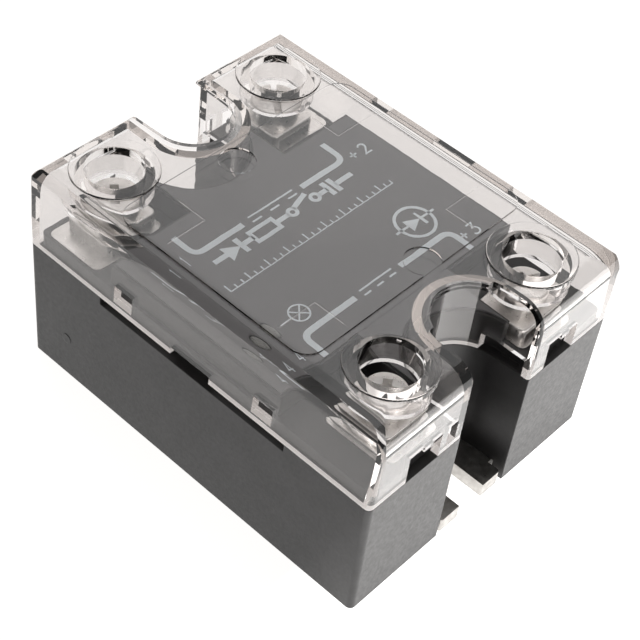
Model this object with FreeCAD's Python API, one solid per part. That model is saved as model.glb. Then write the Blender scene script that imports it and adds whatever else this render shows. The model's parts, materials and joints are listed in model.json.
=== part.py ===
import FreeCAD, Part
import math
import os

from FreeCAD import Vector

# Panel-mount solid state relay with a clear snap-on cover, in millimetres.
# Origin: centre of the underside. +X points to the control (input) end,
# -X to the load (output) end, and +Z up. Terminals 1 and 2 are at the
# output end, 3 and 4 at the input end; 1 and 4 lie on the -Y side.

# ---------------------------------------------------------------- overall
LENGTH = 58.4               # footprint along X
WIDTH = 45.7                # footprint along Y
COVER_TOP = 31.5            # top face of the clear cover
SHOULDER_Z = 19.7           # ledge round the housing that carries the cover
FIT_GAP = 0.05              # cover stands this far off the ledge
HOLE_X = 23.8               # mounting holes sit at plus and minus this

# ---------------------------------------------------------- mounting notch
NOTCH_R = 6.35              # round end of the housing notch
NOTCH_MOUTH = 6.75          # half width of the housing notch at the end face
COVER_NOTCH_R = 6.4         # outside of the cover's notch wall
RIM_R = 5.6                 # edge of the lip over the round end of the notch
RIM_T = 1.1                 # lip thickness
RIM_START_X = 21.5          # the input lip ends here, ahead of the straight walls
RIM_MOUTH = 5.85            # the output lip runs on to the end face at this half width

# -------------------------------------------------------------- base plate
PLATE_T = 2.3
PLATE_HALF_X = 27.1
PLATE_HALF_Y = 20.8
TAB_HALF_Y = 5.9
TAB_END_X = 29.1
MOUNT_R = 2.4               # round hole, and half the width of the open slot

# ----------------------------------------------------------------- housing
WALL = 1.8                  # lower side walls
NOTCH_WALL = 1.6
CORNER_R = 0.8
UPPER_HALF_X = 27.9         # inset block above the ledge
UPPER_HALF_Y = 21.3
UPPER_NOTCH_R = 7.75
DECK_Z = 25.0               # raised deck that carries the label
DECK_X_IN = 13.6            # deck ends here towards the input terminals
DECK_X_OUT = -15.2          # and here towards the output terminals
DECK_HALF_Y = 20.8
DECK_T = 1.5
TONGUE_HALF_Y = 8.7         # deck tongues that run up to each notch
POCKET_Z = 21.8             # floor of the four terminal pockets
CAVITY_TOP = 18.4           # inside height below the pockets
BOSS_BOTTOM = 14.5          # underside of the nut bosses
RELIEF_HALF_X = 15.9        # finger relief below the cover on the long sides
RELIEF_Z = 18.5
SNAP_X = 11.9               # snap windows along the long sides
SNAP_W = 3.2
SNAP_Z = (20.8, 23.4)
GATE_X, GATE_Z = -22.5, 6.8  # round moulding mark on the near long side
GATE_R = 0.8
GATE_STANDS = 0.05
BOSS_WALL = 2.0             # round each nut bore

# ------------------------------------------------------------- clear cover
SKIN = 1.15                 # cover wall
ROOF_T = 1.4
LEAN = 0.7                  # long walls lean in by this from ledge to roof
BEVEL = 1.05                # bevel between the roof and the long walls
INNER_R = 2.4               # inside rounding between the roof and the long walls
END_R = {1: 3.5, -1: 1.2}   # rounding between the roof and the end walls
CORNER_COVER_R = 0.8        # upright corners
COLLAR_R = 3.85             # bore of each access collar
COLLAR_TUBE_R = 5.0
COLLAR_RIM_R = 5.75
COLLAR_RIM_H = 0.3
COLLAR_RIM_T = 1.3
COLLAR_BOTTOM = 27.5
PANEL_X = (-16.5, 15.4)     # raised centre panel on the roof
PANEL_HALF_Y = 20.0
PANEL_R = 2.6
PANEL_H = 0.28
MARK_X = 13.65              # round ejector marks, one per half
MARK_Y = 2.0
MARK_R = 2.4
MARK_DEPTH = 0.22
NOTCH_CUT_Z = 22.4          # straight notch walls stop here
RIB_X, RIB_Y = 9.1, 11.9     # corner of the fine L-shaped line under the roof
RIB_RUN_X, RIB_RUN_Y = 4.7, 6.2
RIB_W = 0.14
RIB_H = 0.08
PRY_HALF_X = 3.3
PRY_Z = 20.8
WIRE_SLOT_STARTS = (-16.6, 9.4)       # wire entries in the end walls
WIRE_SLOT_STEPS = ((2.6, 24.1), (1.6, 23.2), (1.6, 23.8))   # width and top of each step
END_WINDOW_Y = (-9.6, -7.9)
END_WINDOW_Z = (20.7, 23.9)

# --------------------------------------------------------------- terminals
# number: (x, y, screw radius, head radius, head height)
M3 = (1.5, 2.75, 2.4)
M4 = (2.0, 3.5, 2.5)
TERMINALS = {
    1: (-22.5, -14.5, M4),
    2: (-22.5, 14.5, M4),
    3: (21.9, 13.0, M3),
    4: (21.9, -13.0, M3),
}
PAD_HALF_X = 4.6
PAD_HALF_Y = 4.2
LOAD_PAD_EDGE = 20.8        # the load pads run out to here, towards the long sides
PAD_CORNER_R = 1.0
PAD_T = 1.0
LEG_T = 0.8
LEG_HALF_Y = 2.4
LEG_BOTTOM = 9.6
CLAMP_HALF = 3.8
CLAMP_T = 1.0
CLAMP_H = 2.2
WASHER_T = 0.8
NUT_T = 2.5
SHANK_DEPTH = 7.0           # screw length below the head
RUN = 0.05                  # running clearance of the screw in its nut
EDGE_CHAMFER = 0.4
CLAMP_EDGE = 0.9            # turned-down edge of the clamp plate
SPLIT_W = 0.4
SPLIT_ANGLE = 40
SLOT_W = 0.9                # straight slot in the screw head
SLOT_DEPTH = 1.1
CROSS_W = 1.1               # cross recess, a little deeper than the slot
CROSS_DEPTH = 1.6
CROSS_REACH = 0.55          # share of the head's radius
SLOT_ANGLE = {1: 50, 2: 140, 3: 75, 4: 35}
NUT_WIDTH = {M3: 5.5, M4: 7.0}

# ---------------------------------------------------------------- the works
SUBSTRATE = (26.0, 22.0, 0.63)
COPPER_T = 0.3
COPPER_MARGIN = 1.5
CHIP = (6.5, 6.5, 0.5)
CHIP_X = 5.5
POTTING_TOP = 9.0
BOARD_Z = 12.0
BOARD_T = 1.6
BOARD = (27.0, 34.0)
BUSBAR_T = 0.8
BUSBAR_DROP = 1.6           # the run lies this far under the terminal's leg
BUSBAR_FOOT = (0.2, 2.6)    # foot on the chip, across the middle line
BUSBAR_HALF_W = 1.5
COUPLER = (6.6, 8.8, 3.3)
COUPLER_STANDOFF = 0.3
COUPLER_PITCH = 2.54
COUPLER_LEG = (0.6, 0.6, 1.6)
RESISTOR_R = 1.1
RESISTOR_L = 6.0
RESISTOR_X = 9.2
RESISTOR_PITCH = 7.0
CAPACITOR = (5.0, 13.0, 8.5)
CAPACITOR_X = -9.7
CONTROL_IC = (4.0, 5.0, 1.8)
CONTROL_IC_Y = 10.5
LEAD_R = 0.6
LED_POS = (6.3, -16.8)
LED_R = 1.5


def box(x0, x1, y0, y1, z0, z1):
    return Part.makeBox(x1 - x0, y1 - y0, z1 - z0, Vector(x0, y0, z0))


def cyl(x, y, z0, z1, r):
    return Part.makeCylinder(r, z1 - z0, Vector(x, y, z0))


def rounded_box(x0, x1, y0, y1, z0, z1, r):
    """Box with its four upright edges rounded."""
    solid = box(x0, x1, y0, y1, z0, z1)
    upright = [e for e in solid.Edges if abs(e.tangentAt(e.FirstParameter).z) > 0.9]
    return solid.makeFillet(r, upright)


def notch_prism(end, r, mouth, z0, z1, corner=0.0):
    """U-shaped notch from the end face; end is +1 at the input, -1 at the output.

    The round end is centred on the mounting hole. mouth is the half width at
    the end face, and corner rounds the two upright edges beside the mouth."""
    face_x = LENGTH / 2
    out_x = face_x + 2.0

    def at(x, y):
        return Vector(end * x, y, z0)

    edges = [Part.Arc(at(HOLE_X, -r), at(HOLE_X - r, 0), at(HOLE_X, r)).toShape()]
    if corner:
        diagonal = corner * (1 - math.sqrt(0.5))
        for side in (1, -1):
            turn = at(face_x - corner, side * mouth)
            middle = at(face_x - diagonal, side * (mouth + diagonal))
            stop = at(face_x, side * (mouth + corner))
            edges.append(Part.makeLine(at(HOLE_X, side * r), turn))
            edges.append(Part.Arc(turn, middle, stop).toShape())
            edges.append(Part.makeLine(stop, at(out_x, side * (mouth + corner))))
        mouth = mouth + corner
    else:
        for side in (1, -1):
            edges.append(Part.makeLine(at(HOLE_X, side * r), at(out_x, side * mouth)))
    edges.append(Part.makeLine(at(out_x, -mouth), at(out_x, mouth)))
    outline = Part.Wire(Part.__sortEdges__(edges))
    return Part.Face(outline).extrude(Vector(0, 0, z1 - z0))


def both_ends(shape_at):
    """Joins shape_at(+1) and shape_at(-1)."""
    return shape_at(1).fuse(shape_at(-1))


def hexagon(x, y, z0, z1, across_flats):
    """Hexagonal prism with two flats square to X."""
    r = across_flats / math.sqrt(3)
    corners = []
    for i in range(7):
        angle = math.radians(60 * i + 30)
        corners.append(Vector(x + r * math.cos(angle), y + r * math.sin(angle), z0))
    return Part.Face(Part.makePolygon(corners)).extrude(Vector(0, 0, z1 - z0))


def outward(x):
    """+1 at the input end, -1 at the output end."""
    return 1 if x > 0 else -1


# ------------------------------------------------------------ fixed pieces
def base_plate():
    """Aluminium heat-spreader plate with a tab at each end."""
    plate = rounded_box(-PLATE_HALF_X, PLATE_HALF_X, -PLATE_HALF_Y, PLATE_HALF_Y, 0, PLATE_T, 0.6)
    tabs = rounded_box(-TAB_END_X, TAB_END_X, -TAB_HALF_Y, TAB_HALF_Y, 0, PLATE_T, 0.4)
    hole = cyl(-HOLE_X, 0, -1, PLATE_T + 1, MOUNT_R)
    slot = cyl(HOLE_X, 0, -1, PLATE_T + 1, MOUNT_R)
    slot = slot.fuse(box(HOLE_X, TAB_END_X + 1, -MOUNT_R, MOUNT_R, -1, PLATE_T + 1))
    return plate.fuse(tabs).cut(hole).cut(slot).removeSplitter()


def deck_block(z0, z1, inset=0.0):
    """Label deck with a tongue to each notch, pulled in all round by inset."""
    deck = box(DECK_X_OUT + inset, DECK_X_IN - inset,
               -DECK_HALF_Y + inset, DECK_HALF_Y - inset, z0, z1)
    tongue = box(-HOLE_X, HOLE_X, -TONGUE_HALF_Y + inset, TONGUE_HALF_Y - inset, z0, z1)
    clear = both_ends(lambda end: notch_prism(end, UPPER_NOTCH_R + inset,
                                              UPPER_NOTCH_R + inset, z0 - 1, z1 + 1))
    return deck.fuse(tongue).cut(clear).removeSplitter()


def housing():
    """Black moulded housing, open underneath, with four terminal pockets."""
    half_x = LENGTH / 2
    half_y = WIDTH / 2
    lower = rounded_box(-half_x, half_x, -half_y, half_y, 0, SHOULDER_Z, CORNER_R)
    upper = rounded_box(-UPPER_HALF_X, UPPER_HALF_X, -UPPER_HALF_Y, UPPER_HALF_Y,
                        SHOULDER_Z - 1, POCKET_Z, CORNER_R)
    upper = upper.cut(both_ends(lambda end: notch_prism(
        end, UPPER_NOTCH_R, UPPER_NOTCH_R, SHOULDER_Z, POCKET_Z + 1)))
    body = lower.fuse(upper).fuse(deck_block(POCKET_Z - 1, DECK_Z))
    body = body.cut(both_ends(lambda end: notch_prism(end, NOTCH_R, NOTCH_MOUTH, -1, SHOULDER_Z)))

    cavity = box(-half_x + WALL, half_x - WALL, -half_y + WALL, half_y - WALL, -1, CAVITY_TOP)
    keep = both_ends(lambda end: notch_prism(
        end, NOTCH_R + NOTCH_WALL, NOTCH_MOUTH + NOTCH_WALL, PLATE_T + FIT_GAP, CAVITY_TOP + 1))
    cavity = cavity.cut(keep)
    under_deck = box(DECK_X_OUT + DECK_T, DECK_X_IN - DECK_T, -DECK_HALF_Y + DECK_T,
                     DECK_HALF_Y - DECK_T, CAVITY_TOP - 1, DECK_Z - DECK_T)
    body = body.cut(cavity).cut(under_deck)

    for x, y, (_, head_r, _) in TERMINALS.values():
        boss = cyl(x, y, BOSS_BOTTOM, CAVITY_TOP + 0.5, head_r + BOSS_WALL)
        body = body.fuse(boss)
    body = body.cut(both_ends(lambda end: notch_prism(end, NOTCH_R, NOTCH_MOUTH, -1, SHOULDER_Z)))
    for number in TERMINALS:
        body = body.cut(terminal_recess(number))

    for side in (1, -1):
        relief = box(-RELIEF_HALF_X, RELIEF_HALF_X, UPPER_HALF_Y, half_y + 1, RELIEF_Z, SHOULDER_Z)
        body = body.cut(relief if side > 0 else relief.mirror(Vector(), Vector(0, 1, 0)))
    led_hole = cyl(LED_POS[0], LED_POS[1], DECK_Z - DECK_T - 1, DECK_Z + 1, LED_R + 0.05)
    body = body.cut(led_hole)
    gate = Part.makeCylinder(GATE_R, WALL, Vector(GATE_X, -half_y - GATE_STANDS, GATE_Z),
                             Vector(0, 1, 0))
    return body.fuse(gate).removeSplitter()


def pad_block(number, z0, z1, gap=0.0):
    """Outline of a terminal pad, grown by gap."""
    x, y, _ = TERMINALS[number]
    y0 = y - PAD_HALF_Y
    y1 = y + PAD_HALF_Y
    if outward(x) < 0:
        y0 = min(y0, math.copysign(LOAD_PAD_EDGE, y))
        y1 = max(y1, math.copysign(LOAD_PAD_EDGE, y))
    return rounded_box(x - PAD_HALF_X - gap, x + PAD_HALF_X + gap, y0 - gap, y1 + gap,
                       z0, z1, PAD_CORNER_R)


def terminal_recess(number):
    """Seat for the terminal pad, slot for its leg, and the nut pocket."""
    x, y, (shank_r, _, _) = TERMINALS[number]
    end = outward(x)
    gap = FIT_GAP
    seat = pad_block(number, POCKET_Z - PAD_T, POCKET_Z + 1, gap)
    leg_x = x - end * (PAD_HALF_X - LEG_T / 2)
    leg = box(leg_x - LEG_T / 2 - gap, leg_x + LEG_T / 2 + gap,
              y - LEG_HALF_Y - gap, y + LEG_HALF_Y + gap, 0, POCKET_Z)
    nut_top = POCKET_Z - PAD_T
    pocket = hexagon(x, y, nut_top - NUT_T - gap, nut_top + 0.1, nut_width(number) + 2 * gap)
    bore = cyl(x, y, BOSS_BOTTOM + 1, nut_top, shank_r + 0.3)
    return seat.fuse(leg).fuse(pocket).fuse(bore)


def label():
    """Thin sticker over the deck."""
    sheet = deck_block(DECK_Z, DECK_Z + 0.25, inset=0.4)
    hole = cyl(LED_POS[0], LED_POS[1], DECK_Z - 1, DECK_Z + 1, LED_R + 0.15)
    return sheet.cut(hole)


def status_led():
    """Round-topped indicator lamp in the deck."""
    x, y = LED_POS
    top = DECK_Z + 0.3
    lamp = cyl(x, y, DECK_Z - 3.2, top, LED_R)
    lamp = lamp.makeFillet(0.5, [e for e in lamp.Edges if abs(e.CenterOfMass.z - top) < 0.01])
    flange = cyl(x, y, DECK_Z - 3.2, DECK_Z - DECK_T - 0.1, LED_R + 0.4)
    return lamp.fuse(flange).removeSplitter()


# ------------------------------------------------------------- clear cover
def across_profile(half_low, half_high, z0, z1, top_corner, rounded):
    """Cross-section of the cover, run along X. top_corner joins the roof to each long wall."""
    x = -LENGTH
    foot = [Vector(x, side * half_low, z0) for side in (1, -1)]
    wall = [Vector(x, side * half_high, z1 - top_corner) for side in (1, -1)]
    roof = [Vector(x, side * (half_high - top_corner), z1) for side in (1, -1)]
    edges = [Part.makeLine(foot[0], foot[1]), Part.makeLine(roof[0], roof[1])]
    near = top_corner * (1 - math.sqrt(0.5))
    for i, side in ((0, 1), (1, -1)):
        edges.append(Part.makeLine(foot[i], wall[i]))
        if rounded:
            middle = Vector(x, side * (half_high - near), z1 - near)
            edges.append(Part.Arc(wall[i], middle, roof[i]).toShape())
        else:
            edges.append(Part.makeLine(wall[i], roof[i]))
    outline = Part.Wire(Part.__sortEdges__(edges))
    return Part.Face(outline).extrude(Vector(2 * LENGTH, 0, 0))


def along_profile(half, z0, z1, radii):
    """Side view of the cover, run along Y. radii holds the roof rounding at each end."""
    y = -WIDTH
    edges = [Part.makeLine(Vector(-half, y, z0), Vector(half, y, z0)),
             Part.makeLine(Vector(radii[-1] - half, y, z1), Vector(half - radii[1], y, z1))]
    for end in (1, -1):
        r = radii[end]
        near = r * (1 - math.sqrt(0.5))
        side = Vector(end * half, y, z1 - r)
        top = Vector(end * (half - r), y, z1)
        middle = Vector(end * (half - near), y, z1 - near)
        edges.append(Part.makeLine(Vector(end * half, y, z0), side))
        edges.append(Part.Arc(side, middle, top).toShape())
    outline = Part.Wire(Part.__sortEdges__(edges))
    return Part.Face(outline).extrude(Vector(0, 2 * WIDTH, 0))


def cover_form():
    """Outer form of the cover, solid and without its notches."""
    half_x = LENGTH / 2
    half_y = WIDTH / 2
    bottom = SHOULDER_Z + FIT_GAP
    plan = rounded_box(-half_x, half_x, -half_y, half_y, bottom, COVER_TOP, CORNER_COVER_R)
    across = across_profile(half_y, half_y - LEAN, bottom, COVER_TOP, BEVEL, False)
    along = along_profile(half_x, bottom, COVER_TOP, END_R)
    return plan.common(across).common(along)


def cover_inside():
    """The air inside the cover, before the notch walls and collars."""
    half_x = LENGTH / 2 - SKIN
    half_y = WIDTH / 2 - SKIN
    bottom = SHOULDER_Z - 1
    roof = COVER_TOP - ROOF_T
    plan = rounded_box(-half_x, half_x, -half_y, half_y, bottom, roof, 0.5)
    across = across_profile(half_y, half_y - LEAN, bottom, roof, INNER_R, True)
    radii = {1: END_R[1] - SKIN, -1: 0.6}
    return plan.common(across).common(along_profile(half_x, bottom, roof, radii))


def cover_shell():
    """Outer form of the cover less its inside, with the notch walls."""
    bottom = SHOULDER_Z + FIT_GAP
    outer = cover_form().cut(both_ends(lambda end: notch_prism(
        end, COVER_NOTCH_R, COVER_NOTCH_R, bottom - 1, COVER_TOP + 1, corner=0.5)))
    walls = both_ends(lambda end: notch_prism(
        end, COVER_NOTCH_R + SKIN, COVER_NOTCH_R + SKIN, bottom - 2, COVER_TOP))
    return outer.cut(cover_inside().cut(walls))


def notch_lip(end):
    """Lip that narrows the notch at roof level."""
    z0 = COVER_TOP - RIM_T
    overlap = COVER_NOTCH_R + 0.2
    if end > 0:
        ring = cyl(HOLE_X, 0, z0, COVER_TOP, overlap)
        ring = ring.cut(cyl(HOLE_X, 0, z0 - 1, COVER_TOP + 1, RIM_R))
        return ring.common(box(0, RIM_START_X, -overlap, overlap, z0, COVER_TOP))
    lip = notch_prism(end, overlap, overlap, z0, COVER_TOP)
    lip = lip.cut(notch_prism(end, RIM_R, RIM_MOUTH, z0 - 1, COVER_TOP + 1))
    return lip.common(cover_form())


def collar(x, y):
    """Access tube over one terminal screw, with a low raised rim."""
    tube = cyl(x, y, COLLAR_BOTTOM, COVER_TOP - 0.2, COLLAR_TUBE_R)
    top = COVER_TOP + COLLAR_RIM_H
    rim = cyl(x, y, top - COLLAR_RIM_T, top, COLLAR_RIM_R)
    rim = rim.makeFillet(0.2, [e for e in rim.Edges if abs(e.CenterOfMass.z - top) < 0.01])
    return tube.fuse(rim)


def wire_slots():
    """Stepped wire entries and a small window in both end walls."""
    inner = LENGTH / 2 - SKIN - 0.5
    outer = LENGTH / 2 + 1
    cuts = [(END_WINDOW_Y[0], END_WINDOW_Y[1], END_WINDOW_Z[0], END_WINDOW_Z[1])]
    for start in WIRE_SLOT_STARTS:
        for width, top in WIRE_SLOT_STEPS:
            cuts.append((start, start + width, SHOULDER_Z - 1, top))
            start += width
    slots = [box(inner, outer, y0, y1, z0, z1) for y0, y1, z0, z1 in cuts]
    at_input = slots[0].multiFuse(slots[1:])
    at_output = at_input.copy()
    at_output.rotate(Vector(), Vector(0, 0, 1), 180)
    return at_input.fuse(at_output)


def clear_cover():
    """Transparent cover: shell, access collars, lips, windows and slots."""
    half_y = WIDTH / 2
    cover = cover_shell()
    panel = rounded_box(PANEL_X[0], PANEL_X[1], -PANEL_HALF_Y, PANEL_HALF_Y,
                        COVER_TOP - 0.3, COVER_TOP + PANEL_H, PANEL_R)
    panel = panel.cut(both_ends(lambda end: notch_prism(
        end, COVER_NOTCH_R + 0.9, COVER_NOTCH_R + 0.9, COVER_TOP - 1, COVER_TOP + 1)))
    cover = cover.fuse(panel)
    for x, y, _ in TERMINALS.values():
        cover = cover.fuse(collar(x, y))
    cover = cover.cut(both_ends(lambda end: notch_prism(
        end, COVER_NOTCH_R, COVER_NOTCH_R, SHOULDER_Z - 1, COVER_TOP + 1)))
    for x, y, _ in TERMINALS.values():
        cover = cover.cut(cyl(x, y, SHOULDER_Z, COVER_TOP + 1, COLLAR_R))
    for end in (1, -1):
        cover = cover.fuse(notch_lip(end))
        mark_z = COVER_TOP + PANEL_H - MARK_DEPTH
        mark = cyl(end * MARK_X, end * MARK_Y, mark_z, COVER_TOP + 1, MARK_R)
        cover = cover.cut(mark)
    for sx in (1, -1):
        for sy in (1, -1):
            cover = cover.fuse(corner_rib(sx, sy))
            window = box(SNAP_X - SNAP_W / 2, SNAP_X + SNAP_W / 2, half_y - SKIN - 0.5, half_y + 1,
                         SNAP_Z[0], SNAP_Z[1])
            if sx < 0:
                window = window.mirror(Vector(), Vector(1, 0, 0))
            if sy < 0:
                window = window.mirror(Vector(), Vector(0, 1, 0))
            cover = cover.cut(window)
            x_cut = sorted((sx * RIM_START_X, sx * (LENGTH / 2 - SKIN)))
            y_cut = sorted((sy * (COVER_NOTCH_R - 0.5), sy * (COVER_NOTCH_R + SKIN + 0.01)))
            cover = cover.cut(box(x_cut[0], x_cut[1], y_cut[0], y_cut[1],
                                  SHOULDER_Z - 1, NOTCH_CUT_Z))
    pry = box(-PRY_HALF_X, PRY_HALF_X, -half_y - 1, half_y + 1, SHOULDER_Z - 1, PRY_Z)
    return cover.cut(pry).cut(wire_slots()).removeSplitter()


def corner_rib(sx, sy):
    """Fine L-shaped line under the roof beside a collar."""
    under = COVER_TOP - ROOF_T
    z0, z1 = under - RIB_H, under + 0.1
    rib = box(RIB_X, RIB_X + RIB_W, RIB_Y, RIB_Y + RIB_RUN_Y, z0, z1)
    rib = rib.fuse(box(RIB_X, RIB_X + RIB_RUN_X, RIB_Y, RIB_Y + RIB_W, z0, z1))
    if sx < 0:
        rib = rib.mirror(Vector(), Vector(1, 0, 0))
    if sy < 0:
        rib = rib.mirror(Vector(), Vector(0, 1, 0))
    return rib


# --------------------------------------------------------------- terminals
def nut_width(number):
    """Across flats."""
    return NUT_WIDTH[TERMINALS[number][2]]


def terminal_plate(number):
    """Plated pad with a leg that runs down into the housing."""
    x, y, (shank_r, _, _) = TERMINALS[number]
    end = outward(x)
    pad = pad_block(number, POCKET_Z - PAD_T, POCKET_Z)
    leg_x = x - end * (PAD_HALF_X - LEG_T / 2)
    leg = box(leg_x - LEG_T / 2, leg_x + LEG_T / 2, y - LEG_HALF_Y, y + LEG_HALF_Y,
              LEG_BOTTOM, POCKET_Z - PAD_T)
    hole = cyl(x, y, POCKET_Z - PAD_T - 1, POCKET_Z + 1, shank_r + 0.2)
    return pad.fuse(leg).cut(hole).removeSplitter()


def terminal_nut(number):
    """Captive nut under the pad."""
    x, y, (shank_r, _, _) = TERMINALS[number]
    top = POCKET_Z - PAD_T
    nut = hexagon(x, y, top - NUT_T, top, nut_width(number))
    return nut.cut(cyl(x, y, top - NUT_T - 1, top + 1, shank_r + RUN))


def clamp_plate(number):
    """Square saddle whose two turned-down edges hold the wires in."""
    x, y, (shank_r, _, _) = TERMINALS[number]
    top = POCKET_Z + CLAMP_H
    plate = rounded_box(x - CLAMP_HALF, x + CLAMP_HALF, y - CLAMP_HALF, y + CLAMP_HALF,
                        POCKET_Z, top, 0.8)
    arch_half = CLAMP_HALF - CLAMP_EDGE
    arch = box(x - CLAMP_HALF - 1, x + CLAMP_HALF + 1, y - arch_half, y + arch_half,
               POCKET_Z - 1, top - CLAMP_T)
    hole = cyl(x, y, POCKET_Z - 1, top + 1, shank_r + 0.15)
    plate = plate.cut(arch).cut(hole)
    rim = [e for e in plate.Edges
           if abs(e.BoundBox.ZMin - top) < 0.01 and e.BoundBox.DiagonalLength > 2 * shank_r + 1.5]
    return plate.makeFillet(0.3, rim)


def lock_washer(number):
    """Split spring washer, closed flat under the screw head."""
    x, y, (shank_r, head_r, _) = TERMINALS[number]
    z0 = POCKET_Z + CLAMP_H
    ring = cyl(x, y, z0, z0 + WASHER_T, head_r - 0.1)
    ring = ring.cut(cyl(x, y, z0 - 1, z0 + 2, shank_r + 0.15))
    split = box(-SPLIT_W / 2, SPLIT_W / 2, 0, head_r + 1, z0 - 1, z0 + 2)
    split.rotate(Vector(), Vector(0, 0, 1), SPLIT_ANGLE)
    split.translate(Vector(x, y, 0))
    return ring.cut(split)


def terminal_screw(number):
    """Cheese-head screw with a cross recess and a straight slot."""
    x, y, (shank_r, head_r, head_h) = TERMINALS[number]
    seat = POCKET_Z + CLAMP_H + WASHER_T
    top = seat + head_h
    head = cyl(0, 0, seat, top, head_r)
    head = head.makeFillet(EDGE_CHAMFER, [e for e in head.Edges
                                          if abs(e.CenterOfMass.z - top) < 0.01])
    slot = box(-head_r - 1, head_r + 1, -SLOT_W / 2, SLOT_W / 2, top - SLOT_DEPTH, top + 1)
    reach = head_r * CROSS_REACH
    half = CROSS_W / 2
    floor = top - CROSS_DEPTH
    cross = box(-reach, reach, -half, half, floor, top + 1)
    cross = cross.fuse(box(-half, half, -reach, reach, floor, top + 1))
    head = head.cut(slot.fuse(cross))
    tip = seat - SHANK_DEPTH
    shank = cyl(0, 0, tip, seat + 0.1, shank_r)
    shank = shank.makeChamfer(EDGE_CHAMFER, [e for e in shank.Edges
                                             if abs(e.CenterOfMass.z - tip) < 0.01])
    screw = head.fuse(shank)
    screw.rotate(Vector(), Vector(0, 0, 1), SLOT_ANGLE[number])
    screw.translate(Vector(x, y, 0))
    return screw.removeSplitter()


# ------------------------------------------------------------ power section
def block(size, x, y, z):
    """Box of the given size standing on z and centred on x, y."""
    length, width, height = size
    return box(x - length / 2, x + length / 2, y - width / 2, y + width / 2, z, z + height)


def power_parts():
    """Ceramic tile on the plate, copper on the tile, two chips on the copper."""
    length, width, thick = SUBSTRATE
    copper = (length - 2 * COPPER_MARGIN, width - 2 * COPPER_MARGIN, COPPER_T)
    copper_z = PLATE_T + thick
    return {
        "ceramic_substrate": block(SUBSTRATE, 0, 0, PLATE_T),
        "substrate_copper": block(copper, 0, 0, copper_z),
        "power_chip_1": block(CHIP, -CHIP_X, 0, copper_z + COPPER_T),
        "power_chip_2": block(CHIP, CHIP_X, 0, copper_z + COPPER_T),
    }


def output_busbar(number):
    """Strip from a load terminal's leg to its power chip."""
    x, y, _ = TERMINALS[number]
    side = 1 if y > 0 else -1
    leg_x = x + PAD_HALF_X - LEG_T / 2
    near_x = leg_x - BUSBAR_T / 2
    chip_x = -CHIP_X if number == 1 else CHIP_X
    chip_x0 = chip_x - BUSBAR_HALF_W
    chip_x1 = chip_x + BUSBAR_HALF_W
    chip_top = PLATE_T + SUBSTRATE[2] + COPPER_T + CHIP[2]
    top = LEG_BOTTOM - BUSBAR_DROP
    foot = sorted(side * edge for edge in BUSBAR_FOOT)
    leg = (y - LEG_HALF_Y, y + LEG_HALF_Y)
    stem = box(near_x, near_x + BUSBAR_T, leg[0], leg[1], top, LEG_BOTTOM)
    run = box(near_x, chip_x1, leg[0], leg[1], top - BUSBAR_T, top)
    cross = box(chip_x0, chip_x1, min(foot[0], leg[0]), max(foot[1], leg[1]), top - BUSBAR_T, top)
    pillar = box(chip_x0, chip_x1, foot[0], foot[1], chip_top, top)
    return stem.fuse(run).fuse(cross).fuse(pillar).removeSplitter()


def circuit_board():
    """Control board above the potting."""
    return block((BOARD[0], BOARD[1], BOARD_T), 0, 0, BOARD_Z)


def optocoupler():
    """Six-pin coupler between the input and output sides."""
    top = BOARD_Z + BOARD_T
    body = block(COUPLER, 0, 0, top + COUPLER_STANDOFF)
    leg_x = (COUPLER[0] + COUPLER_LEG[0]) / 2
    for row in (-1, 0, 1):
        for side in (1, -1):
            body = body.fuse(block(COUPLER_LEG, side * leg_x, row * COUPLER_PITCH, top))
    return body.removeSplitter()


def input_resistors():
    """Row of four lying resistors on the input side of the board."""
    axis_z = BOARD_Z + BOARD_T + RESISTOR_R
    group = []
    for place in (-1.5, -0.5, 0.5, 1.5):
        start = Vector(RESISTOR_X, place * RESISTOR_PITCH - RESISTOR_L / 2, axis_z)
        group.append(Part.makeCylinder(RESISTOR_R, RESISTOR_L, start, Vector(0, 1, 0)))
    return Part.makeCompound(group)


def snubber_capacitor():
    """Upright film capacitor."""
    length, width, height = CAPACITOR
    z = BOARD_Z + BOARD_T
    return rounded_box(CAPACITOR_X - length / 2, CAPACITOR_X + length / 2, -width / 2, width / 2,
                       z, z + height, 0.8)


def control_ic():
    """Small driver chip beside the coupler."""
    return block(CONTROL_IC, 0, CONTROL_IC_Y, BOARD_Z + BOARD_T)


def input_lead(number):
    """Wire from an input terminal's leg to the board's edge."""
    x, y, _ = TERMINALS[number]
    edge_x = BOARD[0] / 2
    start = Vector(edge_x, y, BOARD_Z + BOARD_T / 2)
    return Part.makeCylinder(LEAD_R, x - PAD_HALF_X - edge_x, start, Vector(1, 0, 0))


def potting_compound(buried):
    """Epoxy fill over the power section, cut round everything in it."""
    half_x = LENGTH / 2 - WALL - 0.02
    half_y = WIDTH / 2 - WALL - 0.02
    fill = box(-half_x, half_x, -half_y, half_y, PLATE_T, POTTING_TOP)
    keep = both_ends(lambda end: notch_prism(
        end, NOTCH_R + NOTCH_WALL + 0.02, NOTCH_MOUTH + NOTCH_WALL + 0.02,
        PLATE_T - 1, POTTING_TOP + 1))
    fill = fill.cut(keep)
    for shape in buried:
        fill = fill.cut(shape)
    return fill


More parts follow.
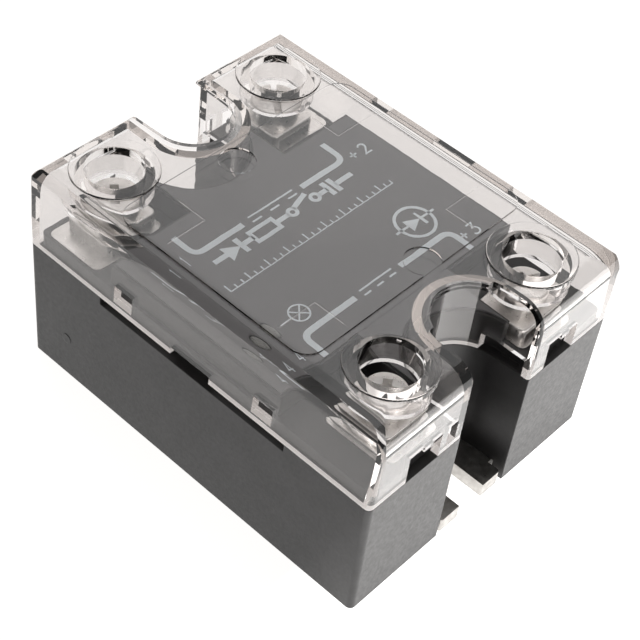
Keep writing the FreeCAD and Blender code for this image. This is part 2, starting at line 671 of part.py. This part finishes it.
def all_parts():
    parts = {
        "base_plate": base_plate(),
        "housing": housing(),
        "clear_cover": clear_cover(),
        "label": label(),
        "status_led": status_led(),
        "circuit_board": circuit_board(),
        "optocoupler": optocoupler(),
        "input_resistors": input_resistors(),
        "snubber_capacitor": snubber_capacitor(),
        "control_ic": control_ic(),
    }
    parts.update(power_parts())
    for number in TERMINALS:
        parts["terminal_plate_%d" % number] = terminal_plate(number)
        parts["terminal_nut_%d" % number] = terminal_nut(number)
        parts["clamp_plate_%d" % number] = clamp_plate(number)
        parts["lock_washer_%d" % number] = lock_washer(number)
        parts["terminal_screw_%d" % number] = terminal_screw(number)
    for number in (1, 2):
        parts["output_busbar_%d" % number] = output_busbar(number)
    for number in (3, 4):
        parts["input_lead_%d" % number] = input_lead(number)
    buried_names = ["ceramic_substrate", "substrate_copper", "power_chip_1", "power_chip_2",
                    "output_busbar_1", "output_busbar_2"]
    parts["potting_compound"] = potting_compound([parts[name] for name in buried_names])
    return parts


os.makedirs("parts", exist_ok=True)
for name, shape in all_parts().items():
    assert shape.isValid(), name
    shape.exportStep("parts/%s.step" % name)
    print("%-20s solids %d  volume %.2f" % (name, len(shape.Solids), shape.Volume))
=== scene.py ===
import json
import math

import bmesh
import bpy
from mathutils import Matrix, Vector


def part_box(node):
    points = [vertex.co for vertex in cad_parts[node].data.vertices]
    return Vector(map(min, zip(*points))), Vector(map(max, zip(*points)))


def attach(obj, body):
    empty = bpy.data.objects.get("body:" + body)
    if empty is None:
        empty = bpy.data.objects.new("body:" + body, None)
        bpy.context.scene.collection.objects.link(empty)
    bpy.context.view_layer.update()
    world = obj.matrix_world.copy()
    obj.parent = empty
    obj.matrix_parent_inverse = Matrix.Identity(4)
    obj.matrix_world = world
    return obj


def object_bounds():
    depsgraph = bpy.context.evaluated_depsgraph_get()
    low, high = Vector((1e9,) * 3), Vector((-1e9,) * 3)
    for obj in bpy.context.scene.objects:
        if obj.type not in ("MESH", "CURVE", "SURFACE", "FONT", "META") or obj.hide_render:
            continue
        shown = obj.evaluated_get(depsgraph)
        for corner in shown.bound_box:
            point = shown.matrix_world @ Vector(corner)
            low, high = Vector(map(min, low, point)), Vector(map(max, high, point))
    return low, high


# A panel-mount solid state relay under a clear cover. The CAD nodes keep their
# shapes and get procedural materials; the label's print is made here.

MM = 0.001
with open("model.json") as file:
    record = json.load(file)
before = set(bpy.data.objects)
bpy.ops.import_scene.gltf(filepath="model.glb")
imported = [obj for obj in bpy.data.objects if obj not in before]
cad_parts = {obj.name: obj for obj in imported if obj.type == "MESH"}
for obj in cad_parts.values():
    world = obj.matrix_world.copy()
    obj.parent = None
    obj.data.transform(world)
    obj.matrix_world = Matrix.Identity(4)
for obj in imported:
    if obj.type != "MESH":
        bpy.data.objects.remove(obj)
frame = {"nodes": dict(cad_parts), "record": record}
nodes = frame["nodes"]
cad_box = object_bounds()
scene = bpy.context.scene


# ------------------------------------------------------------------ shaders
class Shader:
    """A node material with one Principled shader, built up by short calls."""

    def __init__(self, name, color, roughness, **sockets):
        self.mat = bpy.data.materials.new(name)
        self.mat.use_nodes = True
        self.tree = self.mat.node_tree
        self.bsdf = self.tree.nodes["Principled BSDF"]
        self.out = self.tree.nodes["Material Output"]
        self.bsdf.inputs["Base Color"].default_value = (*color, 1)
        self.bsdf.inputs["Roughness"].default_value = roughness
        for socket, value in sockets.items():
            self.bsdf.inputs[socket.replace("_", " ")].default_value = value
        self.normal = None

    def node(self, kind, **props):
        made = self.tree.nodes.new(kind)
        for key, value in props.items():
            setattr(made, key, value)
        return made

    def link(self, a, b):
        self.tree.links.new(a, b)

    def coords(self, stretch=(1, 1, 1)):
        """Object coordinates in millimetres, stretched along each axis."""
        source = self.node("ShaderNodeTexCoord")
        scale = self.node("ShaderNodeMapping")
        scale.inputs["Scale"].default_value = [s / MM for s in stretch]
        self.link(source.outputs["Object"], scale.inputs["Vector"])
        return scale.outputs["Vector"]

    def noise(self, scale, detail=3.0, rough=0.55, stretch=(1, 1, 1)):
        """Noise with scale features to a millimetre."""
        made = self.node("ShaderNodeTexNoise")
        made.inputs["Scale"].default_value = scale
        made.inputs["Detail"].default_value = detail
        made.inputs["Roughness"].default_value = rough
        self.link(self.coords(stretch), made.inputs["Vector"])
        return made.outputs["Fac"]

    def remap(self, source, low, high, to_low, to_high):
        made = self.node("ShaderNodeMapRange")
        for socket, value in zip(("From Min", "From Max", "To Min", "To Max"),
                                 (low, high, to_low, to_high)):
            made.inputs[socket].default_value = value
        self.link(source, made.inputs["Value"])
        return made.outputs["Result"]

    def tint(self, source, dark, light, low=0.35, high=0.65):
        """Colours the surface between dark and light by a noise."""
        ramp = self.node("ShaderNodeValToRGB")
        ramp.color_ramp.elements[0].position = low
        ramp.color_ramp.elements[0].color = (*dark, 1)
        ramp.color_ramp.elements[1].position = high
        ramp.color_ramp.elements[1].color = (*light, 1)
        self.link(source, ramp.inputs["Fac"])
        self.link(ramp.outputs["Color"], self.bsdf.inputs["Base Color"])
        return self

    def rough(self, source, to_low, to_high, low=0.3, high=0.7):
        self.link(self.remap(source, low, high, to_low, to_high), self.bsdf.inputs["Roughness"])
        return self

    def bump(self, source, height_mm, strength=1.0):
        made = self.node("ShaderNodeBump")
        made.inputs["Strength"].default_value = strength
        made.inputs["Distance"].default_value = height_mm * MM
        self.link(source, made.inputs["Height"])
        if self.normal is not None:
            self.link(self.normal, made.inputs["Normal"])
        self.normal = made.outputs["Normal"]
        self.link(self.normal, self.bsdf.inputs["Normal"])
        return self

    def soften(self, radius_mm):
        """Rounds off sharp edges in the shading."""
        made = self.node("ShaderNodeBevel", samples=4)
        made.inputs["Radius"].default_value = radius_mm * MM
        self.normal = made.outputs["Normal"]
        self.link(self.normal, self.bsdf.inputs["Normal"])
        return self


RIM_PAINTED_GLOW = 0.28             # painted glow on the cover's rim, emission in place of light piped down its walls
PAINTED_RIM_BAND = (0.02, 0.04)     # the painted pale rim fades out between these heights over the rim, in mm


def clear_plastic(rim_z):
    """Clear polycarbonate: bends light, lets the lamps through, warm where it is seen end-on.

    The rim at rim_z, in mm, is painted opaque and pale and given a painted glow, in place of the light
    piped down the walls."""
    s = Shader("clear_polycarbonate", (0.87, 0.855, 0.85), 0.02, IOR=1.585, Transmission_Weight=1.0)
    s.bump(s.noise(0.35, 2.0), 0.03, 0.35)
    height = s.node("ShaderNodeSeparateXYZ")
    s.link(s.coords(), height.inputs["Vector"])
    # Below this band the rim turns opaque and pale: a painted bright rim.
    clear = s.remap(height.outputs["Z"], rim_z + PAINTED_RIM_BAND[0], rim_z + PAINTED_RIM_BAND[1], 0.0, 1.0)
    s.link(clear, s.bsdf.inputs["Transmission Weight"])
    # Painted glow on the rim: emission standing in for light reaching it, though the rim is no lamp.
    painted_rim_glow = s.remap(clear, 0.0, 1.0, RIM_PAINTED_GLOW, 0.0)
    s.bsdf.inputs["Emission Color"].default_value = (1.0, 0.94, 0.91, 1)
    s.link(painted_rim_glow, s.bsdf.inputs["Emission Strength"])
    passes = s.node("ShaderNodeBsdfTransparent")
    passes.inputs["Color"].default_value = (0.93, 0.915, 0.9, 1)
    path = s.node("ShaderNodeLightPath")
    both = s.node("ShaderNodeMixShader")
    s.link(path.outputs["Is Shadow Ray"], both.inputs["Fac"])
    s.link(s.bsdf.outputs["BSDF"], both.inputs[1])
    s.link(passes.outputs["BSDF"], both.inputs[2])
    s.link(both.outputs["Shader"], s.out.inputs["Surface"])
    depth = s.node("ShaderNodeVolumeAbsorption")
    depth.inputs["Color"].default_value = (0.86, 0.77, 0.7, 1)
    depth.inputs["Density"].default_value = 45.0
    s.link(depth.outputs["Volume"], s.out.inputs["Volume"])
    return s.mat


def black_plastic():
    s = Shader("moulded_black", (0.014, 0.0135, 0.014), 0.38, Specular_IOR_Level=0.42)
    s.soften(0.22)
    s.tint(s.noise(0.18, 4.0), (0.01, 0.0095, 0.0095), (0.018, 0.017, 0.0175))
    s.rough(s.noise(1.7, 4.0), 0.32, 0.44)
    s.bump(s.noise(5.5, 3.0), 0.03, 0.5)
    s.bump(s.noise(0.5, 2.0, stretch=(1, 1, 0.12)), 0.03, 0.25)
    return s.mat


def label_film():
    s = Shader("printed_film", (0.112, 0.112, 0.119), 0.4)
    s.tint(s.noise(2.2, 5.0), (0.106, 0.106, 0.113), (0.12, 0.12, 0.127))
    s.rough(s.noise(3.0, 3.0), 0.34, 0.48)
    s.bump(s.noise(9.0, 2.0), 0.012, 0.4)
    return s.mat


def print_ink():
    s = Shader("pale_ink", (0.78, 0.88, 0.94), 0.45)
    s.tint(s.noise(6.0, 4.0), (0.73, 0.83, 0.89), (0.82, 0.91, 0.97))
    s.bump(s.noise(12.0, 2.0), 0.008, 0.4)
    return s.mat


def led_lens():
    s = Shader("diffused_lens", (0.3, 0.31, 0.3), 0.28, IOR=1.5, Transmission_Weight=0.35)
    s.rough(s.noise(4.0, 3.0), 0.22, 0.36)
    s.bump(s.noise(6.0, 3.0), 0.01, 0.4)
    return s.mat


def metal(name, dark, light, rough, grain, stretch=(1, 1, 1), depth=0.008):
    """Metal whose tone, gloss and fine grain vary."""
    s = Shader(name, light, rough, Metallic=1.0)
    s.soften(0.1)
    s.tint(s.noise(0.9, 4.0), dark, light)
    s.rough(s.noise(1.4, 5.0), rough * 0.75, rough * 1.3)
    s.bump(s.noise(grain, 3.0, stretch=stretch), depth, 0.5)
    return s.mat


def plain(name, dark, light, rough, grain=4.0, depth=0.02, spread=0.6, **sockets):
    """Moulded, cast or dipped stuff with a mottled colour and a fine grain."""
    s = Shader(name, light, rough, **sockets)
    s.tint(s.noise(spread, 4.0), dark, light)
    s.rough(s.noise(1.5, 3.0), rough * 0.85, min(1.0, rough * 1.2))
    s.bump(s.noise(grain, 3.0), depth, 0.4)
    return s.mat


def board_mask():
    """Green solder mask over etched tracks."""
    s = Shader("solder_mask", (0.03, 0.16, 0.07), 0.3)
    tracks = s.node("ShaderNodeTexBrick")
    tracks.inputs["Scale"].default_value = 0.35
    tracks.inputs["Mortar Size"].default_value = 0.06
    tracks.inputs["Color1"].default_value = (0.02, 0.13, 0.055, 1)
    tracks.inputs["Color2"].default_value = (0.025, 0.15, 0.06, 1)
    tracks.inputs["Mortar"].default_value = (0.06, 0.26, 0.11, 1)
    s.link(s.coords(), tracks.inputs["Vector"])
    s.link(tracks.outputs["Color"], s.bsdf.inputs["Base Color"])
    s.bump(tracks.outputs["Fac"], 0.04, 0.5)
    return s.mat


cover_rim_z = min(v.co.z for v in nodes["clear_cover"].data.vertices) / MM
finishes = {
    "black_plastic": black_plastic(),
    "clear_plastic": clear_plastic(cover_rim_z),
    "label_film": label_film(),
    "led_lens": led_lens(),
    "base_aluminium": metal("milled_aluminium", (0.4, 0.385, 0.365), (0.54, 0.525, 0.5), 0.36, 3.0,
                            stretch=(0.12, 3.0, 1.0), depth=0.02),
    "plated_metal": metal("bright_nickel", (0.76, 0.74, 0.72), (0.9, 0.88, 0.86), 0.32, 5.0),
    "brass": metal("turned_brass", (0.5, 0.36, 0.14), (0.72, 0.55, 0.26), 0.3, 6.0),
    "copper": metal("bare_copper", (0.55, 0.25, 0.14), (0.8, 0.42, 0.27), 0.33, 4.0),
    "epoxy": plain("potting_epoxy", (0.008, 0.007, 0.008), (0.02, 0.016, 0.015), 0.25, 0.3, 0.2, 0.2),
    "alumina": plain("alumina", (0.7, 0.69, 0.66), (0.86, 0.85, 0.82), 0.6, 7.0, 0.01),
    "silicon": plain("silicon_die", (0.1, 0.11, 0.14), (0.2, 0.22, 0.26), 0.18, 8.0, 0.004),
    "board": board_mask(),
    "component_black": plain("package_black", (0.012, 0.012, 0.013), (0.026, 0.026, 0.027), 0.5, 9.0),
    "component_blue": plain("resistor_coat", (0.07, 0.2, 0.32), (0.11, 0.3, 0.44), 0.3, 3.0, 0.02, 0.8),
    "component_yellow": plain("dipped_yellow", (0.42, 0.22, 0.02), (0.62, 0.36, 0.04), 0.25, 1.2, 0.05),
}
for part in frame["record"]["subparts"]:
    node = nodes[part["node"]]
    node.data.materials.clear()
    node.data.materials.append(finishes[part["material_slot"]])


# ------------------------------------------------------------ label's print
PRINT_LIFT = 0.004          # the ink starts this far above the film, in mm
PRINT_T = 0.03
ROUND_STEPS = 8
label_low, label_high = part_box("label")
INK_Z = label_high.z / MM + PRINT_LIFT
ink = print_ink()


def rounded(points, radius):
    """The corners of a path turned into arcs."""
    path = [Vector(points[0])]
    for before, corner, after in zip(points, points[1:], points[2:]):
        corner = Vector(corner)
        into = (corner - Vector(before)).normalized()
        out = (Vector(after) - corner).normalized()
        reach = radius * math.tan(into.angle(out) / 2)
        start = corner - into * reach
        end = corner + out * reach
        for i in range(ROUND_STEPS + 1):
            t = i / ROUND_STEPS
            path.append((1 - t) ** 2 * start + 2 * t * (1 - t) * corner + t * t * end)
    path.append(Vector(points[-1]))
    return path


def ring(cx, cy, r, start=0.0, turn=360.0, steps=28):
    """Points along a circular arc, angles in degrees."""
    angles = [math.radians(start + turn * i / steps) for i in range(steps + 1)]
    return [Vector((cx + r * math.cos(a), cy + r * math.sin(a))) for a in angles]


class Print:
    """One printed piece: strokes and filled shapes, in label millimetres."""

    def __init__(self, name):
        self.name = name
        self.bm = bmesh.new()

    def fill(self, outline):
        low = [self.bm.verts.new((p[0] * MM, p[1] * MM, INK_Z * MM)) for p in outline]
        high = [self.bm.verts.new((p[0] * MM, p[1] * MM, (INK_Z + PRINT_T) * MM)) for p in outline]
        self.bm.faces.new(high)
        self.bm.faces.new(low[::-1])
        count = len(outline)
        for i in range(count):
            j = (i + 1) % count
            self.bm.faces.new((low[i], low[j], high[j], high[i]))
        return self

    def stroke(self, points, width, closed=False):
        """A band of even width along a path."""
        path = [Vector(p) for p in points]
        if closed and (path[0] - path[-1]).length < 1e-6:
            path = path[:-1]
        count = len(path)
        left, right = [], []
        for i, p in enumerate(path):
            before = path[i - 1] if i or closed else p
            after = path[(i + 1) % count] if i < count - 1 or closed else p
            a = (p - before).normalized() if (p - before).length else (after - p).normalized()
            b = (after - p).normalized() if (after - p).length else a
            along = (a + b).normalized()
            side = Vector((-along.y, along.x))
            reach = width / 2 / max(0.5, side.dot(Vector((-a.y, a.x))))
            left.append(p + side * reach)
            right.append(p - side * reach)
        last = count if closed else count - 1
        for i in range(last):
            j = (i + 1) % count
            self.fill([right[i], right[j], left[j], left[i]])
        return self

    def finish(self):
        bmesh.ops.remove_doubles(self.bm, verts=self.bm.verts, dist=1e-7)
        self.bm.normal_update()
        mesh = bpy.data.meshes.new(self.name)
        self.bm.to_mesh(mesh)
        self.bm.free()
        mesh.materials.append(ink)
        piece = bpy.data.objects.new(self.name, mesh)
        scene.collection.objects.link(piece)
        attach(piece, "root")
        return piece


OUTPUT_X = -8.9             # the two rows of leaders, along Y
INPUT_X = 9.15
LEADER_W = 0.85
LEADER_R = 1.5
LEADER_END_Y = 13.5
for name, line_x, start_y, end_x in (("output", OUTPUT_X, 5.3, -12.9), ("input", INPUT_X, 4.1, 13.1)):
    for side, tag in ((1, "far"), (-1, "near")):
        leader = Print("print_%s_leader_%s" % (name, tag))
        corner = [(line_x, side * start_y), (line_x, side * LEADER_END_Y), (end_x, side * LEADER_END_Y)]
        leader.stroke(rounded(corner, LEADER_R), LEADER_W).finish()

# Digits read from the input end, so their tops point to -X and they run along +Y.
DIGIT_H = 1.9
DIGIT_W = 0.26


def glyph(points, x, y, height):
    """Turns glyph points (across, up) into label points."""
    return [(x - up * height, y + across * height) for across, up in points]


def arc(cx, cy, r, start, turn):
    """A bend of a digit, as glyph points."""
    return [(cx + p.x, cy + p.y) for p in ring(0, 0, r, start, turn, 12)]


DIGITS = {
    "1": [[(-0.16, 0.32), (0.04, 0.5), (0.04, -0.5)]],
    "2": [arc(0, 0.22, 0.28, 165, -200) + [(-0.28, -0.5), (0.31, -0.5)]],
    "3": [[(-0.26, 0.5), (0.26, 0.5), (-0.02, 0.12)] + arc(-0.02, -0.19, 0.31, 80, -235)],
    "4": [[(0.3, -0.22), (-0.34, -0.22), (0.12, 0.5), (0.12, -0.5)]],
    "plus": [[(-0.3, 0), (0.3, 0)], [(0, -0.3), (0, 0.3)]],
}
marks = Print("print_terminal_numbers")
for digit, x, y in (("2", -8.7, 17.2), ("plus", -8.7, 15.1), ("3", 11.0, 16.4), ("plus", 11.0, 14.4),
                    ("1", -8.7, -15.8), ("4", 11.4, -17.6)):
    for line in DIGITS[digit]:
        marks.stroke(glyph(line, x, y, DIGIT_H), DIGIT_W)
marks.finish()

# Circuit symbols along the middle, in place of words.
BOLD_X = -6.4
NODE_R = 0.62               # the switch's two contacts
BAR = 1.35                  # half the length of the diode's and capacitor's bars
RESISTOR = 0.95
bold = Print("print_symbol_row")


def bold_stroke(points, width=0.75, closed=False):
    """A stroke of the row, from points given as (along the row, up)."""
    bold.stroke([(BOLD_X - up, y) for y, up in points], width, closed)


def wire(start, end):
    bold_stroke([(start, 0), (end, 0)])


def bar(y):
    bold_stroke([(y, -BAR), (y, BAR)])


def contact(y):
    bold_stroke(ring(y, 0, NODE_R), 0.5, True)


wire(-12.8, -10.6)
bold.fill([(BOLD_X - BAR, -10.6), (BOLD_X + BAR, -10.6), (BOLD_X, -8.2)])
bar(-8.0)
wire(-7.7, -5.9)
bold_stroke([(-5.9, -RESISTOR), (-1.9, -RESISTOR), (-1.9, RESISTOR), (-5.9, RESISTOR)], 0.6, True)
wire(-1.6, 0.4)
contact(1.1)
bold_stroke([(1.6, 0.4), (4.7, 1.35)], 0.7)
contact(5.3)
wire(6.0, 7.6)
bar(7.75)
bar(8.9)
wire(9.1, 12.2)
bold.finish()

# A row of ticks, in place of the second line of words.
TICK_X = -1.58
TICK_H = 1.24
TICK_SHORT = 0.55           # a short tick against a tall one
TICKS = 27
TALL_EVERY = 3
TICK_Y0 = -14.6
TICK_Y1 = 15.0
ticks = Print("print_tick_row")
for i in range(TICKS):
    y = TICK_Y0 + i * (TICK_Y1 - TICK_Y0) / (TICKS - 1)
    tall = TICK_H if i % TALL_EVERY == 0 else TICK_H * TICK_SHORT
    ticks.stroke([(TICK_X, y), (TICK_X - tall, y)], 0.2)
ticks.stroke([(TICK_X, TICK_Y0), (TICK_X, TICK_Y1)], 0.16)
ticks.finish()

# A line over three dashes between each pair of leaders: direct current.
SUPPLY_GAP = 0.45
SUPPLY_W = 0.26
DASHES = 3
supply = Print("print_supply_symbols")
for line_x, half in ((OUTPUT_X, 4.0), (INPUT_X, 2.9)):
    supply.stroke([(line_x - SUPPLY_GAP, -half), (line_x - SUPPLY_GAP, half)], SUPPLY_W)
    dash = half * 2 / (2 * DASHES - 1)
    for i in range(DASHES):
        y = -half + dash * 2 * i
        supply.stroke([(line_x + SUPPLY_GAP, y), (line_x + SUPPLY_GAP, y + dash)], SUPPLY_W)
supply.finish()

# A crossed ring by the status lens, with a lead towards it.
LAMP_X, LAMP_Y = 6.3, -11.0
LAMP_R = 1.35
LAMP_CROSS = 0.9
lamp = Print("print_lamp_symbol")
lamp.stroke(ring(LAMP_X, LAMP_Y, LAMP_R), 0.22, True)
for side in (1, -1):
    lamp.stroke([(LAMP_X - LAMP_CROSS, LAMP_Y - LAMP_CROSS * side),
                 (LAMP_X + LAMP_CROSS, LAMP_Y + LAMP_CROSS * side)], 0.2)
lamp.stroke([(LAMP_X, LAMP_Y - 1.5), (LAMP_X, LAMP_Y - 3.2)], 0.2)
lamp.finish()

# A diode in a ring, at the far input corner.
DIODE_X, DIODE_Y = 5.2, 11.6
DIODE_R = 2.7
diode = Print("print_coupler_symbol")
diode.stroke(ring(DIODE_X, DIODE_Y, DIODE_R), 0.45, True)
diode.fill([(DIODE_X - 1.1, DIODE_Y - 1.3), (DIODE_X + 1.1, DIODE_Y - 1.3), (DIODE_X, DIODE_Y + 0.9)])
diode.stroke([(DIODE_X - 1.2, DIODE_Y + 1.1), (DIODE_X + 1.2, DIODE_Y + 1.1)], 0.4)
diode.stroke([(DIODE_X, DIODE_Y - 3.6), (DIODE_X, DIODE_Y - 1.2)], 0.35)
diode.stroke([(DIODE_X, DIODE_Y + 1.2), (DIODE_X, DIODE_Y + 3.6)], 0.35)
diode.finish()


# -------------------------------------------------------- floor and lights
FLOOR_GLOW = 0.93
FRONT_GLOW = 2.1
GLOW_FROM, GLOW_TO = 20.0, 34.0     # the glow rises between these, along X, in mm
FLOOR_HALF = 3.0                    # metres
FLOOR_GAP = 0.02                    # the floor lies this far under the part, in mm


def floor():
    """White sweep that glows a little, and more in front of the input end."""
    mesh = bpy.data.meshes.new("floor")
    bm = bmesh.new()
    bmesh.ops.create_grid(bm, x_segments=8, y_segments=8, size=FLOOR_HALF)
    bm.to_mesh(mesh)
    bm.free()
    made = bpy.data.objects.new("floor", mesh)
    made.location.z = cad_box[0].z - FLOOR_GAP * MM
    scene.collection.objects.link(made)
    s = Shader("white_sweep", (0.3, 0.3, 0.3), 0.9)
    s.bsdf.inputs["Specular IOR Level"].default_value = 0.1
    s.bsdf.inputs["Emission Color"].default_value = (1.0, 0.985, 0.97, 1)
    along = s.node("ShaderNodeSeparateXYZ")
    s.link(s.coords(), along.inputs["Vector"])
    glow = s.remap(along.outputs["X"], GLOW_FROM, GLOW_TO, FLOOR_GLOW, FRONT_GLOW)
    s.link(glow, s.bsdf.inputs["Emission Strength"])
    s.tint(s.noise(0.01, 2.0), (0.29, 0.29, 0.29), (0.31, 0.31, 0.31))
    made.data.materials.append(s.mat)


def softbox(name, place, target, size, power):
    """White rectangular area lamp aimed at target, in metres."""
    lamp_data = bpy.data.lights.new(name, "AREA")
    lamp_data.shape = "RECTANGLE"
    lamp_data.size, lamp_data.size_y = size
    lamp_data.energy = power
    made = bpy.data.objects.new(name, lamp_data)
    made.location = place
    made.rotation_mode = "QUATERNION"
    made.rotation_quaternion = (Vector(target) - Vector(place)).to_track_quat("-Z", "Y")
    scene.collection.objects.link(made)


floor()
centre = (0, 0, 0.015)
softbox("back", (-0.25, 0.33, 0.45), centre, (0.9, 0.8), 1.9)
softbox("key", (0.5, -0.12, 0.3), centre, (0.16, 0.12), 0.35)

world = bpy.data.worlds.new("studio")
scene.world = world
world.use_nodes = True
backdrop = world.node_tree.nodes["Background"]
backdrop.inputs["Color"].default_value = (1.0, 1.0, 1.0, 1)
backdrop.inputs["Strength"].default_value = 0.32
scene.view_settings.view_transform = "Standard"


# ------------------------------------------------------------------ camera
AZIMUTH = 37.435
ELEVATION = 46.365
ROLL = 7.817
DISTANCE = 0.21033
LENS = 90.913
SENSOR = 36.0
AIM = Vector((0, 0, 0.014))
SLIDE = (0.000711, -0.001383)


def camera():
    a, e, r = (math.radians(v) for v in (AZIMUTH, ELEVATION, ROLL))
    back = Vector((math.sin(a) * math.cos(e), -math.cos(a) * math.cos(e), math.sin(e)))
    level = (-back).cross(Vector((0, 0, 1))).normalized()
    lift = level.cross(-back)
    right = math.cos(r) * level + math.sin(r) * lift
    up = -math.sin(r) * level + math.cos(r) * lift
    data = bpy.data.cameras.new("camera")
    data.lens = LENS
    data.sensor_width = SENSOR
    data.clip_start, data.clip_end = 0.01, 20
    made = bpy.data.objects.new("camera", data)
    place = AIM + SLIDE[0] * right + SLIDE[1] * up + DISTANCE * back
    turn = Matrix((right, up, back)).transposed().to_4x4()
    made.matrix_world = Matrix.Translation(place) @ turn
    scene.collection.objects.link(made)
    scene.camera = made


camera()
